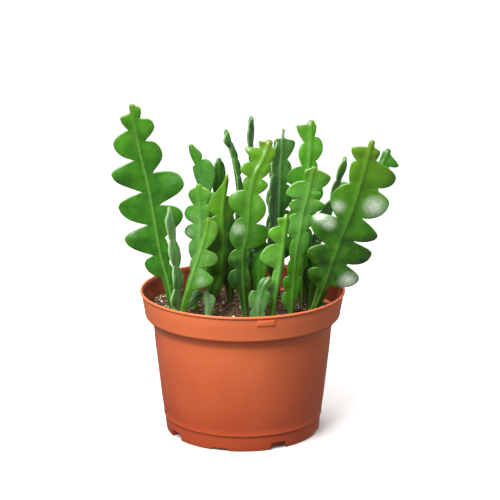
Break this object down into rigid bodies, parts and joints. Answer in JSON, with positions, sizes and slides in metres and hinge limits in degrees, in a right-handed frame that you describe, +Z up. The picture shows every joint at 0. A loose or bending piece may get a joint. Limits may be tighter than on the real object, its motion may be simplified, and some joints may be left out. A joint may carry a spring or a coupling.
{
  "type": "potted cactus",
  "caption": "Ric rac cactus with flat, leafless zig-zag stems rising from dark soil in a round tapered terracotta-coloured plastic nursery pot.",
  "frame": {"origin": "middle of the plant's width and depth, on the surface it stands on, 10.6 mm to the right of the pot's middle", "axes": "+Z up; -Y is the front that the picture shows; +X to the right as seen from the front"},
  "size_m": [0.2109, 0.1534, 0.2534],
  "materials": {
    "pot_plastic": "satin",
    "soil": "matte",
    "skin_bright": "satin",
    "skin_young": "satin",
    "skin_grey_green": "satin",
    "skin_deep": "satin"
  },
  "bodies": {
    "root": {"pot": "pot_plastic", "soil": "soil", "stem_left_tall": "skin_young", "stem_left_edge_on": "skin_grey_green", "stem_back_left": "skin_deep", "stem_back_left_blunt": "skin_deep", "stem_mid_left": "skin_young", "stem_front_left": "skin_bright", "stem_folded_tip": "skin_bright", "stem_middle_tall": "skin_bright", "stem_spike_left": "skin_deep", "stem_spike_middle": "skin_deep", "stem_back_broad": "skin_grey_green", "stem_middle_edge_on": "skin_grey_green", "stem_right_high": "skin_young", "stem_right_mid": "skin_young", "stem_front_right": "skin_bright", "stem_front_small": "skin_grey_green", "stem_right_tall": "skin_bright", "stem_right_back": "skin_deep", "stem_right_wavy": "skin_grey_green", "stem_stub": "skin_deep", "stem_stub_leaning": "skin_deep", "stem_low_middle": "skin_deep", "stem_low_back": "skin_deep", "stem_low_right": "skin_deep"}
  },
  "joints": []
}
